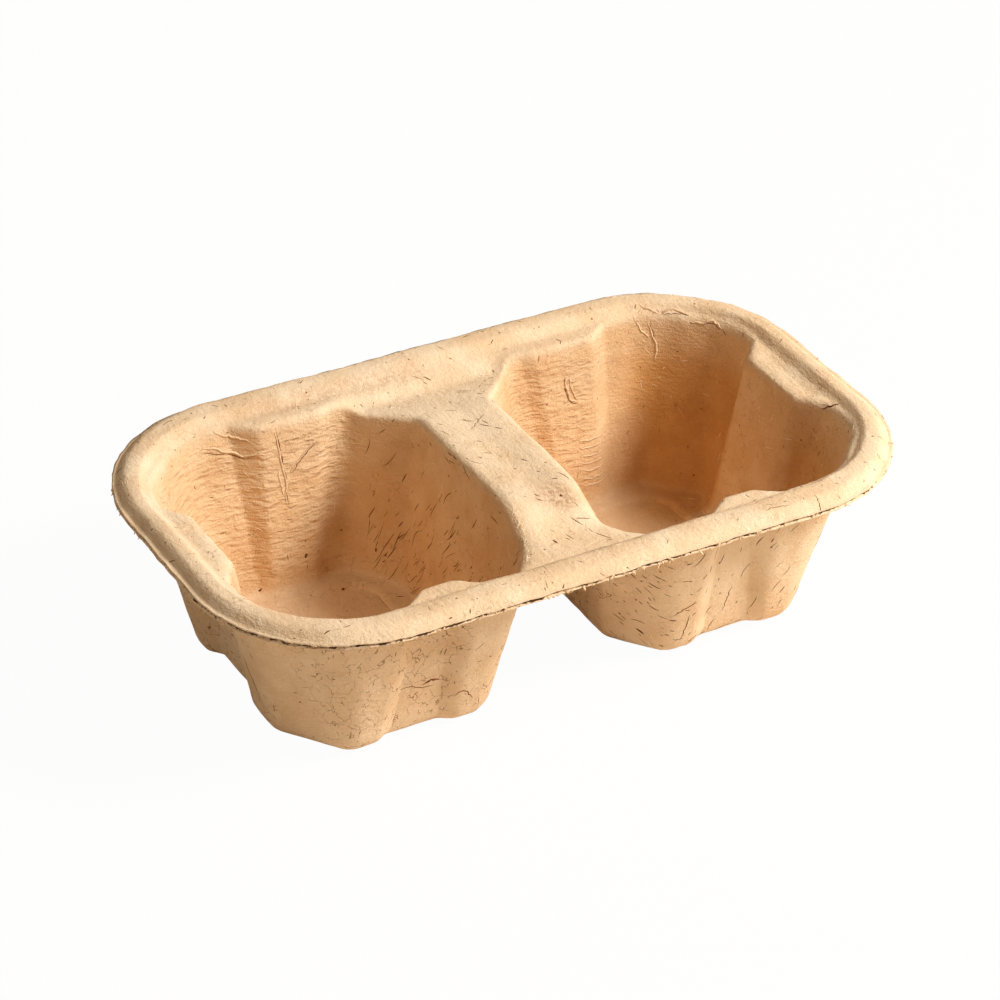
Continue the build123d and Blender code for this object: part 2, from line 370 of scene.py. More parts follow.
def rounded_run(keys, trims, straight_counts):
    """Profile carried round the columns: straight runs between key points, with each inner key
    replaced by a curve that starts and ends one trim length from it."""
    gaps = np.linalg.norm(np.diff(keys, axis=0), axis=-1)
    rows = [keys[:1]]
    start = keys[0]
    for k in range(1, len(keys) - 1):
        trim = np.minimum(trims[k - 1], 0.45 * np.minimum(gaps[k - 1], gaps[k]))[..., None]
        before = keys[k] + unit(keys[k - 1] - keys[k]) * trim
        after = keys[k] + unit(keys[k + 1] - keys[k]) * trim
        rows += [straight_rows(start, before, straight_counts[k - 1]),
                 bent_rows(before, keys[k], after, 1)]
        start = after
    return np.concatenate(rows + [straight_rows(start, keys[-1], straight_counts[-1])])


def well_skin(thickness, wall_rows, edge_rows, top_rows, shelf_ease):
    """Rows of points from the floor panel's edge up the wall and out to the border. The edge
    where wall meets top is a quadratic curve whose reach differs along the mouth; shelf_ease
    is its reach over the end rib."""
    low = ring(foot, 0, floor_top + foot_round, thickness, wall_slope, knee_slope)
    high = ring(mouth, 0, lip_height - mouth_ease_drop, thickness, ease_slope, wall_slope)
    lean = (high - low) / (high - low)[:, 2:3]
    up = high[:, 2] - low[:, 2]
    for _ in range(12):
        edge = low + lean * up[:, None]
        up = top_height(edge[:, 0], edge[:, 1], thickness) - low[:, 2]
    front = ramp(edge[:, 1], -8, -26)
    ease = np.where(on_divider, divider_ease + front_divider_ease * front, wall_ease)
    over_end_rib = (np.abs(edge[:, 1]) < 17) & (edge[:, 0] > 60)
    ease = np.where(over_end_rib, shelf_ease, ease)
    for _ in range(10):
        ease = (np.roll(ease, 1) + ease + np.roll(ease, -1)) / 3
    span = np.linalg.norm(border - edge[:, :2], axis=1)
    ease = np.minimum(ease, 0.42 * span)
    wall_end = edge - unit(edge - low) * ease[:, None]
    step = (ease / span)[:, None]
    top_start = on_top(edge[:, :2] * (1 - step) + border * step, thickness)
    keys = np.stack([
        panel_ring(floor_step_run, wall - thickness),
        panel_ring(0, floor_top - thickness),
        ring(foot, -foot_round, floor_top, thickness, ledge_slope, 0),
        ring(foot, -foot_knee_run, floor_top + foot_knee_rise, thickness, knee_slope, ledge_slope),
        low,
        wall_end,
    ])
    run = rounded_run(keys, (0.5, 0.45, 0.45, 1.0), wall_rows)
    bend = bent_rows(wall_end, edge, top_start, edge_rows)
    top = on_top(straight_rows(top_start[:, :2], border, top_rows), thickness)
    return np.concatenate([run, bend, top])


def rim_skin(thickness, rows):
    """Rows of points from the bead's crown out to the lip's edge, for the rim's columns."""
    share = np.linspace(0, 1, rows + 1)[:, None]
    run = rim_run[rim_columns]
    end_inset = seam_end_inset * (1 - share) + lip_edge_inset * share
    side_inset = seam_side_inset * (1 - share) + lip_edge_inset * share
    run = np.broadcast_to(run, (rows + 1, len(run)))
    return on_top(rim_point(run, end_inset, side_inset), thickness)


# Putting the skins together as one closed shell
class Shell:
    """Collects grids of points with their faces, and welds points that coincide."""

    def __init__(self):
        self.points, self.faces, self.sides, self.count = [], [], [], 0

    def add(self, grid, side, flip, closed):
        """Grid of rows by columns. side is kept at each point: 0 on the upper face, 1 on the
        lower, and 2 to 3 on the lip's edge. closed joins the last column to the first."""
        rows, cols = grid.shape[:2]
        index = np.arange(rows * cols).reshape(rows, cols) + self.count
        if closed:
            index = np.concatenate([index, index[:, :1]], 1)
        quads = np.stack([index[:-1, :-1], index[:-1, 1:], index[1:, 1:], index[1:, :-1]], -1)
        quads = quads.reshape(-1, 4)
        self.faces.append(quads if flip else quads[:, ::-1])
        self.points.append(grid.reshape(-1, 3))
        self.sides.append(np.broadcast_to(side, (rows, cols)).ravel())
        self.count += rows * cols

    def weld(self):
        """Points without doubles, their sides, and the faces that join them."""
        points, sides, faces = map(np.concatenate, (self.points, self.sides, self.faces))
        _, first, inverse = np.unique(np.round(points * 2000).astype(np.int64), axis=0,
                                      return_index=True, return_inverse=True)
        return points[first], sides[first], inverse.reshape(-1)[faces]


shell = Shell()
panel_half = corner_column[2] + 4
turn_columns = np.array([-panel_half, panel_half, columns // 2 - panel_half, columns // 2 + panel_half])
band_share = np.array([0.0, 0.25, 0.5, 0.75, 1.0])[:, None, None]
band_notch = np.array([0.0, 0.1, 0.9, 0.15, 0.0])[:, None, None]
band_side = 2 + np.array([0, 0.35, 1, 0.35, 0])[:, None]
# For the upper and the lower face: side, thickness, and rows from panel to wall, of the
# mouth's edge, of the top and of the rim
face_rows = ((0, 0.0, (2, 6, 1, 2, 46), 6, 12, 10), (1, wall, (1, 3, 1, 1, 30), 3, 8, 6))
for mirrored in (False, True):
    flip_x = np.array([-1.0 if mirrored else 1.0, 1, 1])
    skins = {}
    for side, thickness, wall_rows, edge_rows, top_rows, rim_rows in face_rows:
        skin = well_skin(thickness, wall_rows, edge_rows, top_rows,
                         left_shelf_ease if mirrored else right_shelf_ease)
        skin[-1, on_divider, 0] = 0.0
        rim = rim_skin(thickness, rim_rows)
        rim[:, [0, -1], 0] = 0.0
        rim[0] = skin[-1, rim_columns]
        skins[side] = (skin, rim, coons_patch(skin[0], turn_columns))
    upper_rim, lower_rim = skins[0][1], skins[1][1]
    lip_band = upper_rim[-1] * (1 - band_share) + lower_rim[-1] * band_share
    lip_band[..., :2] += band_notch * unit((upper_rim[-2] - upper_rim[-1])[:, :2])
    lip_band[:, [0, -1], 0] = 0.0
    for side in (0, 1):
        skin, rim, panel = skins[side]
        shell.add(skin * flip_x, side, (side == 1) ^ mirrored, True)
        shell.add(rim * flip_x, side, (side == 1) ^ mirrored, False)
        shell.add(panel * flip_x, side, (side == 0) ^ mirrored, False)
    for rows in (slice(1, -1), slice(0, 2), slice(-2, None)):
        shell.add(lip_band[rows] * flip_x, band_side[rows], mirrored, False)

points, side_tag, faces = shell.weld()


# The surface's own unevenness
def lattice_noise(p, cell, seed):
    """Smooth random value from -1 to 1: hashed values at the corners of cubes of one cell,
    blended with 3t^2 - 2t^3 along each axis."""
    q = p / cell
    low = np.floor(q).astype(np.int64)
    t = q - low
    t = t * t * (3 - 2 * t)
    total = np.zeros(len(p))
    for dx, dy, dz in np.ndindex(2, 2, 2):
        h = (low[:, 0] + dx) * 73856093 ^ (low[:, 1] + dy) * 19349663 ^ (low[:, 2] + dz) * 83492791
        h = (h ^ seed * 40503) & 0xFFFFFFFF
        h = ((h ^ (h >> 15)) * 2246822519) & 0xFFFFFFFF
        h = ((h ^ (h >> 13)) * 3266489917) & 0xFFFFFFFF
        value = (h ^ (h >> 16)) / 2147483647.5 - 1
        total += value * np.abs(1 - dx - t[:, 0]) * np.abs(1 - dy - t[:, 1]) * np.abs(1 - dz - t[:, 2])
    return total


def layered(*layers):
    """Sum of noises at the surface's points, each given as amount, cell and seed."""
    return sum(amount * lattice_noise(points, cell, seed) for amount, cell, seed in layers)


def vertex_normals(points, faces):
    """Sum of the area-weighted normals of the faces round each point."""
    a, b, c, d = (points[faces[:, k]] for k in range(4))
    normal = np.cross(c - a, d - b)
    total = np.zeros_like(points)
    for k, axis in np.ndindex(4, 3):
        total[:, axis] += np.bincount(faces[:, k], normal[:, axis], len(points))
    return unit(total)


normals = vertex_normals(points, faces)
x, y, z = points.T
lip_share = np.clip(side_tag - 2, 0, 1)
upper, outside = side_tag < 0.5, side_tag > 0.5
inset, _ = lip_inset(x, y)
in_well = (inset > 15) & (z < lip_height - 3) & upper

# Slow waves all over, finer lumps, and laid wrinkles that run round the wells' walls
push = layered((0.30, 24.0, 1), (0.16, 9.0, 2), (0.10, 3.6, 3))
back_wall = ramp(y, 18, 30)
laid = lattice_noise(points * [1 / 3.0, 1 / 3.0, 1], 1.9, 4)
on_back_rib = ramp(x, 20, 26) * ramp(x, 56, 48) * back_wall
left_end = 0.55 * ramp(x, -62, -76)
wrinkled = 0.10 + ramp(x, -22, -30) * np.maximum(back_wall, left_end) + 0.75 * on_back_rib
wrinkled = np.clip(wrinkled, 0, 1) * ramp(z, lip_height - 1, lip_height - 6) * upper
wrinkled *= 0.2 + 0.8 * ramp(z, 3, 9)
wrinkled = np.where(outside & (side_tag < 1.5), 0.26, wrinkled)
push += np.where(in_well, 0.20 * laid * wrinkled, 0)
# The right end's shelf is dished
shelf = ramp(x, 87.5, 89) * ramp(x, 94.5, 92.5) * ramp(np.abs(y), 15, 10) * (z > 50) * upper
push -= 0.55 * shelf
push *= (side_tag < 1.5) * (0.35 + 0.65 * ramp(inset, 0.5, 3.0))
points = points + normals * push[:, None]

# The lip is torn rather than cut: its edge wanders and its two plies part unevenly
corner_centre = np.array([corner_x, corner_y])
inward = -unit(points[:, :2] - np.clip(points[:, :2], -corner_centre, corner_centre))
tear = layered((0.25, 6.0, 5), (0.30, 2.1, 6)) + 0.10
points[:, :2] += inward * (inset < 1.6)[:, None] * (tear * ramp(inset, 1.8, 0.4))[:, None]
points[:, 2] += layered((0.22, 4.5, 7)) * ramp(inset, 2.2, 0.4)
points[:, 2] += lip_share * layered((0.40, 2.6, 8))

# The visual stays inside the solid's box
box_low = np.array([-half_length, -half_width, 0.0]) + [0.02, 0.02, 0.0]
box_high = np.array([half_length, half_width, lip_height + bead_height]) - [0.02, 0.02, 0.01]
points = np.clip(points, box_low, box_high)
normals = vertex_normals(points, faces)
x, y, z = points.T

# Painted shade: a warmer, darker tint that grows with how deep in a well a point lies,
# and on steep faces just under the rim, weaker on faces that look up
well_shade_share = np.where(upper, ramp(z, lip_height - 0.5, lip_height - 20.5), 0)
steep = ramp(normals[:, 2], 0.90, 0.55) * ramp(z, lip_height - 0.5, lip_height - 3.5)
well_shade_share = np.maximum(well_shade_share, 0.85 * steep * upper)
well_shade_share *= 1 - 0.6 * ramp(normals[:, 2], 0.55, 0.85)
tone_share = 0.5 + layered((0.30, 28.0, 21), (0.30, 8.0, 22), (0.22, 3.4, 23))
# Fine cracks lie in patches, most on the outside: many at the front left, few at the right
crazed_share = ramp(lattice_noise(points, 11.0, 24), -0.15, 0.20) * np.where(outside, 1.0, 0.4)
front_left = ramp(y, -34, -38) * ramp(x, -44, -52) * outside
front_right = ramp(y, -30, -34) * ramp(x, 4, 12) * outside
crazed_share = np.maximum(crazed_share * (1 - 0.8 * front_right), 0.95 * front_left)


def round_patch(centre, reach):
    """Soft patch: 1 at a centre, falling as exp(-d^2) with d the distance over its reach."""
    return np.exp(-(((points - centre) / reach) ** 2).sum(1))


# Painted shade on the slope where the saddle's top drops towards the front valley
slope_shade_share = (round_patch((1.0, -20.6, 50), (3.8, 2.4, 6))
               + 0.9 * round_patch((5.8, -23.2, 50), (3.6, 2.4, 6))
               + 0.5 * round_patch((3.5, -18.0, 50), (5.0, 4.0, 6))) * upper
# Painted shade at the right end: darker, warmer colour in the corner behind the end rib and, less,
# before it
behind = ramp(x, 58, 74) * ramp(y, 14, 17)
before = 0.75 * ramp(x, 72, 78) * ramp(y, -10, -13)
corner_shade_share = (behind + before) * upper * ramp(z, lip_height - 3, lip_height - 17)
# Painted shade on the back rim's inner slope, behind the left well and the saddle
back_felt = ramp(y, 47.5, 49.5) * ramp(y, 56, 53) * (z > 48) * ramp(np.abs(x + 24), 36, 24) * upper
slope_shade_share = np.clip(1.5 * slope_shade_share + 0.55 * back_felt, 0, 1)
slope_shade_share *= 0.65 + 0.35 * lattice_noise(points, 2.0, 25)


def linked(name, data):
    """New object with that data, in the scene."""
    made = bpy.data.objects.new(name, data)
    bpy.context.scene.collection.objects.link(made)
    return made


def mesh_object(name, points, faces, material, values=None):
    """Smooth-shaded mesh object from points in millimetres, with named values per point."""
    mesh = bpy.data.meshes.new(name)
    mesh.vertices.add(len(points))
    mesh.vertices.foreach_set("co", (points * MM).astype(np.float32).ravel())
    mesh.loops.add(faces.size)
    mesh.loops.foreach_set("vertex_index", faces.astype(np.int32).ravel())
    mesh.polygons.add(len(faces))
    mesh.polygons.foreach_set("loop_start", np.arange(0, faces.size, faces.shape[1], dtype=np.int32))
    mesh.update(calc_edges=True)
    mesh.polygons.foreach_set("use_smooth", np.ones(len(faces), dtype=bool))
    for key, value in (values or {}).items():
        mesh.attributes.new(key, "FLOAT", "POINT").data.foreach_set("value", value.astype(np.float32))
    mesh.materials.append(material)
    made = linked(name, mesh)
    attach(made, "root")
    return made


# Materials
class Nodes:
    """Short calls for building the node tree of a material or a world."""

    def __init__(self, owner):
        owner.use_nodes = True
        self.tree = owner.node_tree

    def put(self, value, socket):
        if isinstance(value, bpy.types.NodeSocket):
            self.tree.links.new(value, socket)
        else:
            socket.default_value = value

    def node(self, kind, settings=None, inputs=None, output=0):
        made = self.tree.nodes.new("ShaderNode" + kind)
        for key, value in (settings or {}).items():
            setattr(made, key, value)
        for key, value in (inputs or {}).items():
            self.put(value, made.inputs[key])
        return made.outputs[output]

    def feed(self, socket, value, node="Principled BSDF"):
        self.put(value, self.tree.nodes[node].inputs[socket])

    def place(self):
        """Place on the object in millimetres."""
        return self.scaled(self.node("TexCoord", output="Object"), (1000, 1000, 1000))

    def math(self, operation, a, b=0.0, c=0.0):
        return self.node("Math", {"operation": operation}, {0: a, 1: b, 2: c})

    def times(self, a, b):
        return self.math("MULTIPLY", a, b)

    def noise(self, place, scale, detail=2.0, rough=0.5):
        return self.node("TexNoise", {}, {"Vector": place, "Scale": scale, "Detail": detail,
                                          "Roughness": rough})

    def step(self, value, low, high, to_low=0.0, to_high=1.0):
        return self.node("MapRange", {"interpolation_type": "SMOOTHSTEP"},
                         {"Value": value, "From Min": low, "From Max": high,
                          "To Min": to_low, "To Max": to_high})

    def mix(self, factor, a, b, blend="MIX"):
        made = self.tree.nodes.new("ShaderNodeMix")
        made.data_type, made.blend_type = "RGBA", blend
        self.put(factor, made.inputs["Factor"])
        self.put(a, made.inputs["A"])
        self.put(b, made.inputs["B"])
        return next(o for o in made.outputs if o.type == "RGBA")

    def scaled(self, place, factors):
        return self.node("VectorMath", {"operation": "MULTIPLY"}, {0: place, 1: factors})

    def attribute(self, name):
        return self.node("Attribute", {"attribute_name": name}, output="Fac")

    def seen(self):
        """1 for rays that carry a surface to the camera: straight, mirrored or through glass."""
        rays = self.tree.nodes.new("ShaderNodeLightPath").outputs
        return self.math("MAXIMUM", rays["Is Camera Ray"],
                         self.math("MAXIMUM", rays["Is Glossy Ray"], rays["Is Transmission Ray"]))


def pulp_material():
    """Moulded paper pulp: tan felt with blotches, grain, wrinkles, fine crazing and specks, and painted
    shade down the wells, in the right well's corner, on two slopes and in the lip's ply gap.
    """
    material = bpy.data.materials.new("moulded_pulp")
    n = Nodes(material)
    place = n.place()
    grain = n.noise(place, 1 / 1.0, 3.0, 0.65)
    felt = n.noise(place, 1 / 0.42, 1.0, 0.5)
    well_shade = n.attribute("painted_well_shade")
    seam = n.attribute("lip_seam")

    colour = n.mix(n.step(n.attribute("tone"), 0.1, 0.9), (0.76, 0.525, 0.312, 1),
                   (0.86, 0.66, 0.445, 1))
    colour = n.mix(n.step(grain, 0.45, 0.72, 0.0, 0.35), colour, (0.92, 0.71, 0.48, 1))
    colour = n.mix(n.step(felt, 0.24, 0.46, 0.32, 0.0), colour, (0.58, 0.33, 0.16, 1))
    # Painted shade: warmer and darker down the wells' walls and on steep faces under the rim
    colour = n.mix(n.times(well_shade, 0.85), colour, (0.93, 0.81, 0.655, 1), "MULTIPLY")
    # Painted shade in the right well's corner behind the end rib, and less before it
    colour = n.mix(n.attribute("painted_corner_shade"), colour, (0.78, 0.61, 0.385, 1), "MULTIPLY")
    # Painted shade on the saddle's front slope and on the back rim's inner slope
    slope_shade = n.times(n.attribute("painted_slope_shade"), n.step(grain, 0.40, 0.60, 0.25, 0.9))
    colour = n.mix(slope_shade, colour, (0.38, 0.17, 0.065, 1))

    # Fine cracks: the borders of bent cells, shown only in patches
    bend = n.node("TexNoise", {}, {"Vector": place, "Scale": 1 / 3.5, "Detail": 2.0}, output="Color")
    bent = n.node("VectorMath", {"operation": "MULTIPLY_ADD"}, {0: bend, 1: (5, 5, 5), 2: place})
    cells = n.node("TexVoronoi", {"feature": "DISTANCE_TO_EDGE"}, {"Vector": bent, "Scale": 1 / 4.5})
    broken = n.step(n.noise(place, 1 / 2.6, 1.0), 0.41, 0.51)
    crack = n.times(n.step(cells, 0.004, 0.024, 1.0, 0.0), broken)
    crack = n.times(crack, n.attribute("crazed"))

    # Specks: small dots in some cells
    dots = n.node("TexVoronoi", {}, {"Vector": place, "Scale": 1 / 4.2})
    chosen = n.step(n.node("SeparateColor", {}, {0: dots.node.outputs["Color"]}), 0.74, 0.78)
    speck = n.times(n.step(dots, 0.05, 0.10, 1.0, 0.0), chosen)
    dark = n.math("MAXIMUM", crack, speck)
    colour = n.mix(n.times(dark, 0.85), colour, (0.20, 0.060, 0.010, 1))

    # Painted shade in the gap between the lip's plies
    parted = n.noise(place, 1 / 2.3, 2.0, 0.7)
    ply_gap_shade = n.step(n.math("MULTIPLY_ADD", parted, 2.6, seam), 1.86, 2.08)
    ply_gap_shade = n.times(ply_gap_shade, n.step(seam, 0.02, 0.25))
    colour = n.mix(n.times(ply_gap_shade, 0.95), colour, (0.085, 0.030, 0.009, 1))
    n.feed("Base Color", colour)
    n.feed("Roughness", n.step(grain, 0.3, 0.7, 0.95, 0.86))
    n.feed("Specular IOR Level", 0.15)

    # Relief: felt, grain, strokes of the mould's wire, and wrinkles laid round the wells' walls
    along = n.scaled(place, (1 / 4.2, 1 / 4.2, 1 / 1.25))
    wrinkle = n.noise(n.node("VectorMath", {"operation": "MULTIPLY_ADD"},
                             {0: bend, 1: (0.5, 0.5, 0.9), 2: along}), 1.0, 1.0, 0.5)
    brushed = n.noise(n.scaled(place, (1 / 1.6, 1 / 3.6, 1 / 0.8)), 1.0, 1.0, 0.55)
    height = n.math("MULTIPLY_ADD", grain, n.step(n.attribute("painted_corner_shade"), 0.0, 1.0, 0.19, 0.10),
                    n.times(felt, 0.13))
    height = n.math("MULTIPLY_ADD", n.times(wrinkle, n.attribute("wrinkled")), 0.85, height)
    height = n.math("MULTIPLY_ADD", brushed, 0.24, height)
    n.feed("Normal", n.node("Bump", {}, {"Height": height, "Distance": MM, "Strength": 1.0}))
    return material


def fibre_material(name, colour, other):
    """Fibres, and the dark lines of painted shade along the folds: two tones mixed by a fine noise
    along their length.
    """
    material = bpy.data.materials.new(name)
    n = Nodes(material)
    place = n.place()
    tone = n.noise(place, 1 / 1.5, 2.0)
    n.feed("Base Color", n.mix(n.step(tone, 0.35, 0.65), colour, other))
    n.feed("Roughness", 0.9)
    n.feed("Specular IOR Level", 0.03)
    n.feed("Normal", n.node("Bump", {}, {"Height": n.noise(place, 1 / 0.3, 2.0), "Distance": 0.1 * MM}))
    return material


pulp = pulp_material()
dark_fibre = fibre_material("dark_fibre", (0.10, 0.028, 0.006, 1), (0.26, 0.095, 0.028, 1))
pale_fibre = fibre_material("pale_fibre", (0.88, 0.64, 0.38, 1), (0.95, 0.76, 0.52, 1))

# Each quad as two triangles, without those that have two corners welded together
triangles = np.concatenate([faces[:, [0, 1, 2]], faces[:, [0, 2, 3]]])
a, b, c = triangles.T
triangles = triangles[(a != b) & (b != c) & (a != c)]
tray = mesh_object("pulp_tray", points, triangles, pulp,
                   {"painted_well_shade": well_shade_share, "tone": tone_share, "crazed": crazed_share,
                    "lip_seam": lip_share, "wrinkled": wrinkled, "painted_slope_shade": slope_shade_share,
                    "painted_corner_shade": corner_shade_share})
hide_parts("carrier_tray")

# Fibres, folds and burrs that lie on the surface
surface = BVHTree.FromPolygons(points.tolist(), triangles.tolist())


def lens_rows(places, up, half_widths, rises):
    """Lens-shaped strands along places whose upward directions are known, with a half width
    and a rise for each strand or for all. Each ring has four points: one to each side, one
    above and one below, and tapers to the tips as the square root of 1 - 0.97 s^2, with s
    running from -1 to 1."""
    count, rings = places.shape[:2]
    along = unit(np.gradient(places, axis=1))
    side = unit(np.cross(up, along))
    s = np.linspace(-1, 1, rings)
    taper = np.sqrt(1 - 0.97 * s * s)[None, :, None]
    wide = np.asarray(half_widths, float).reshape(-1, 1, 1) * taper
    tall = np.asarray(rises, float).reshape(-1, 1, 1) * taper
    corners = np.stack([places - side * wide + up * 0.015, places + up * (tall + 0.02),
                        places + side * wide + up * 0.015, places - up * (0.15 + tall)], 2)
    corners = np.clip(corners, box_low, box_high)
    index = np.arange(count * rings * 4).reshape(count, rings, 4)
    a, b = index[:, :-1], index[:, 1:]
    a2, b2 = np.roll(a, -1, 2), np.roll(b, -1, 2)
    quads = np.stack([a, a2, b2, b], -1).reshape(-1, 4)
    ends = np.concatenate([index[:, 0, ::-1], index[:, -1]])
    return corners.reshape(-1, 3), np.concatenate([quads, ends])


def strand_object(name, paths, half_widths, rises, material):
    """Mesh object of strands along paths that are dropped to the nearest places on the tray."""
    found = [surface.find_nearest(Vector(p))[:2] for p in np.reshape(paths, (-1, 3))]
    places, up = (np.array([f[k] for f in found]).reshape(np.shape(paths)) for k in (0, 1))
    mesh_object(name, *lens_rows(places, up, half_widths, rises), material)


random = np.random.default_rng(11)
face_points = points[triangles]
centres = face_points.mean(1)
area_vectors = np.cross(face_points[:, 1] - face_points[:, 0], face_points[:, 2] - face_points[:, 0])
areas = np.linalg.norm(area_vectors, axis=1)
face_normals = area_vectors / np.maximum(areas[:, None], 1e-9)
face_side = side_tag[triangles].max(1)


def scattered(weight, count, lean, spread, length_range, rings=5):
    """Short curved paths at random places: each is a piece of parabola in the tangent plane,
    turned towards lean by more or less as spread is small or large."""
    chance = areas * weight
    pick = random.choice(len(areas), count, p=chance / chance.sum())
    normal = face_normals[pick]
    heading = np.asarray(lean, float) + spread * random.normal(size=(count, 3))
    heading = unit(heading - (heading * normal).sum(1, keepdims=True) * normal)
    across = np.cross(normal, heading)
    low, high = length_range
    length = low + (high - low) * random.random(count) ** 2.2
    s = np.linspace(-0.5, 0.5, rings)
    bow = random.normal(size=count) * 0.22
    along = s[None, :, None] * length[:, None, None]
    curve = bow[:, None, None] * (s ** 2)[None, :, None] * length[:, None, None]
    return centres[pick][:, None] + heading[:, None] * along + across[:, None] * curve


# Where the dark fibres lie: chance, count, lean, spread, lengths and half widths of each set
cx, cy, cz = centres.T
inner = face_side < 0.5
outer = (face_side > 0.5) & (face_side < 1.5) & (cz < lip_height - 4)
divider_left = inner & (cx < -11) & (cx > -24) & (face_normals[:, 0] < -0.6) & (cz < 48)
saddle = inner & (np.abs(cx) < 13) & (cz > 44)
rim = inner & (cz > 50) & ~saddle
walls = inner & (cz < 48) & ~divider_left
front_out = outer & (cy < -30)
dark_sets = [
    (divider_left * np.clip((46 - cz) / 26, 0.10, 1), 200, (0, -0.52, 1.0), 0.17, (0.8, 7.6),
     (0.06, 0.15)),
    (saddle, 85, (0.8, -1, -0.3), 0.30, (0.7, 5.5), (0.07, 0.17)),
    (rim, 210, (0.5, 0.2, 0), 0.8, (0.3, 2.6), (0.07, 0.16)),
    (walls, 130, (0, -0.5, 1.0), 0.8, (0.5, 2.4), (0.05, 0.15)),
    (front_out * (cx > 0) * (cx < 33), 95, (1.0, 0, -0.25), 0.14, (0.9, 4.6), (0.08, 0.20)),
    (front_out * (cx >= 33), 80, (0.7, 0, 1.0), 0.22, (0.8, 6.5), (0.08, 0.19)),
    (front_out * (cx < 0) * (cx > -45), 60, (0.4, 0, 1.0), 0.35, (0.5, 3.6), (0.05, 0.14)),
    (front_out * (cx <= -45), 50, (0.8, 0, 0.5), 0.7, (0.3, 2.0), (0.05, 0.12)),
    (outer * ~front_out, 200, (0, 0.5, 0.8), 0.7, (0.5, 4.0), (0.06, 0.16)),
]
dark_paths, dark_widths = [], []
for weight, count, lean, spread, lengths, width_range in dark_sets:
    dark_paths.append(scattered(weight, count, lean, spread, lengths))
    dark_widths.append(random.uniform(*width_range, count))
strand_object("dark_fibres", np.concatenate(dark_paths), np.concatenate(dark_widths), 0.05,
              dark_fibre)

pale_count = 900
pale_paths = scattered(inner + 0.7 * outer, pale_count, (0, 0, 0), 1.0, (1.0, 6.0), 6)
strand_object("pale_fibres", pale_paths, random.uniform(0.05, 0.10, pale_count), 0.06, pale_fibre)


def through(points_by_hand, rings):
    """Path with a set number of rings through a few given points, by running length."""
    line = np.asarray(points_by_hand, float)
    run = np.concatenate([[0], np.cumsum(np.linalg.norm(np.diff(line, axis=0), axis=1))])
    at = np.linspace(0, run[-1], rings)
    line = np.stack([np.interp(at, run, line[:, k]) for k in range(3)], 1)
    line[1:-1] = (line[:-2] + 2 * line[1:-1] + line[2:]) / 4
    return line + random.normal(size=line.shape) * 0.14


# Raised folds of the felt: points of their lines, half width and rise
folds = [
    ([(-69.4, 48.8, 48.6), (-65.7, 48.8, 48.5), (-63, 48.3, 46.4), (-60, 48.1, 45.9),
      (-57.6, 46.2, 44), (-54.5, 44.4, 45.7)], 0.42, 0.34),
    ([(-65, 50.2, 52.4), (-62.4, 49.4, 50.8), (-58.9, 48.2, 50.1), (-55.6, 45.7, 48.9)], 0.45, 0.26),
    ([(-48.9, 45.3, 52.4), (-48, 43.8, 46.7), (-47.6, 42.9, 41.6), (-46.9, 41.9, 36),
      (-47.1, 41.1, 31.5), (-47.2, 40.4, 27.9)], 0.40, 0.20),
    ([(-36.3, 43.5, 45.1), (-39, 43.2, 43.5), (-40.7, 42.9, 41.8), (-43.1, 42.5, 39.8),
      (-45.2, 42.2, 37.9)], 0.35, 0.16),
    ([(-47.5, 41, 31), (-48.3, 41.7, 34.9), (-49, 42.5, 39.6)], 0.35, 0.2),
    ([(44.1, 43.2, 43.3), (43.9, 42.7, 40.9), (44.4, 42.3, 38.3), (45.2, 41.8, 35.6),
      (47.5, 41.6, 34.7)], 0.42, 0.40),
    ([(45.6, 43.1, 42.6), (45.4, 42.6, 40.2), (46.2, 42.1, 37.6), (47.6, 41.7, 35)], 0.32, 0.34),
    ([(74.4, 48.1, 50.8), (75.1, 46.7, 47), (76, 45.1, 43.2), (74.8, 44.6, 39)], 0.35, 0.24),
    ([(71.2, 49.7, 52.2), (71.9, 48.3, 48.7), (74.5, 46.8, 46.1)], 0.3, 0.2),
    ([(78.5, 47.3, 53.5), (81.5, 46.6, 54.4), (83.5, 44.2, 53.7), (85.3, 41.7, 53.2)], 0.5, 0.3),
    ([(84.2, 40.9, 51.9), (87, 38.1, 51.9), (89.2, 37, 53.2), (90.6, 33.6, 51.9)], 0.45, 0.3),
    ([(73.4, 51.2, 54.9), (75.7, 49.5, 54.1), (77.6, 47.9, 52.8)], 0.45, 0.25),
]
# A ladder of short creases down the lower half of the right well's back rib
for rung in (22.4, 20.0, 17.4, 15.2, 12.9, 10.4, 8.3):
    lean_in = (22 - rung) * 0.13
    folds.append(([(46.8, 39.3 - lean_in, rung + 0.5), (50.2, 38.9 - lean_in, rung - 0.3),
                   (54.6, 39.5 - lean_in, rung + 0.2)], 0.40, 0.20))
lines, half_widths, rises = zip(*folds)
strand_object("felt_folds", [through(line, 14) for line in lines], half_widths, rises, pulp)
